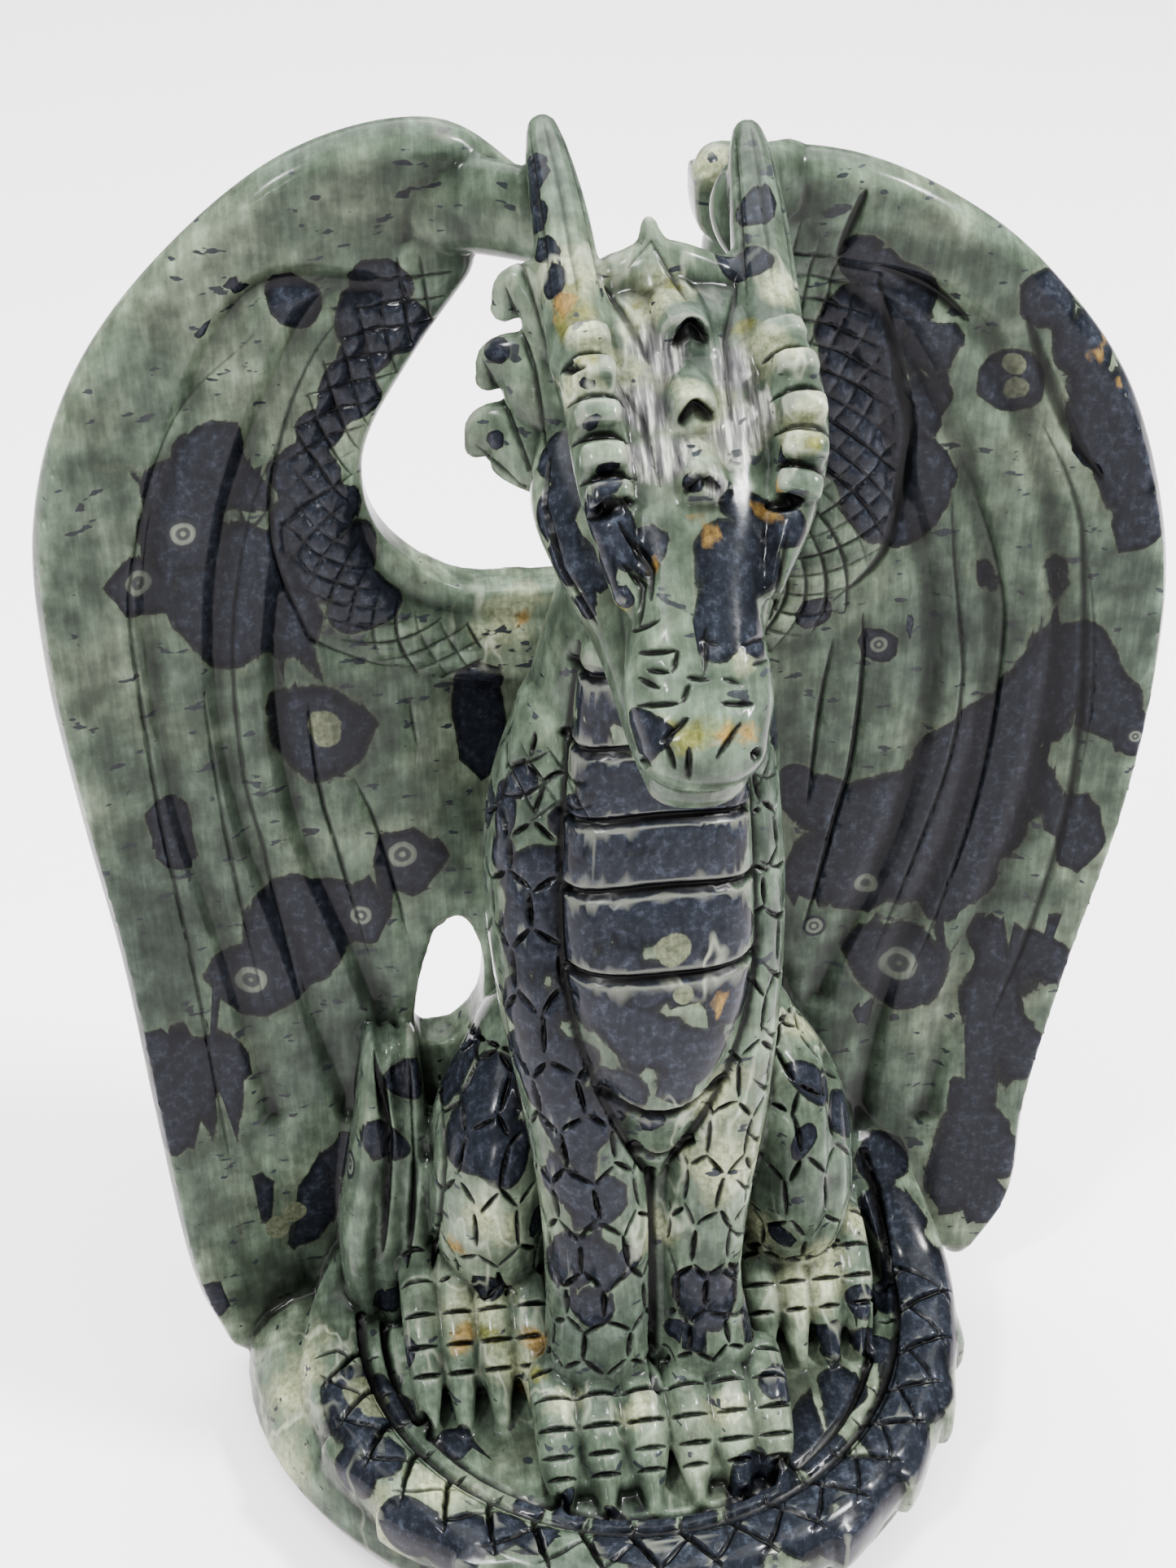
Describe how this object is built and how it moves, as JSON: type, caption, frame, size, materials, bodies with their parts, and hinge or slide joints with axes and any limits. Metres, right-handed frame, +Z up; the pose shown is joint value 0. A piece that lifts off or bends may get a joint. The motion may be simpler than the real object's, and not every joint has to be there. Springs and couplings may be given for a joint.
{
  "type": "winged dragon carving",
  "caption": "Carved jasper dragon sitting upright with raised wings and its tail curled round its paws, on a round rock base.",
  "frame": {"origin": "on the flat underside of the base, below the middle of the round platform that the paws stand on", "axes": "+Z up, +X to the viewer's right, -Y the way the dragon faces"},
  "size_m": [0.1335, 0.0881, 0.171],
  "materials": {
    "jasper": "polished orbicular jasper, sage green with dark blue-black orbs"
  },
  "bodies": {
    "root": {"dragon_carving": "jasper"}
  },
  "joints": []
}
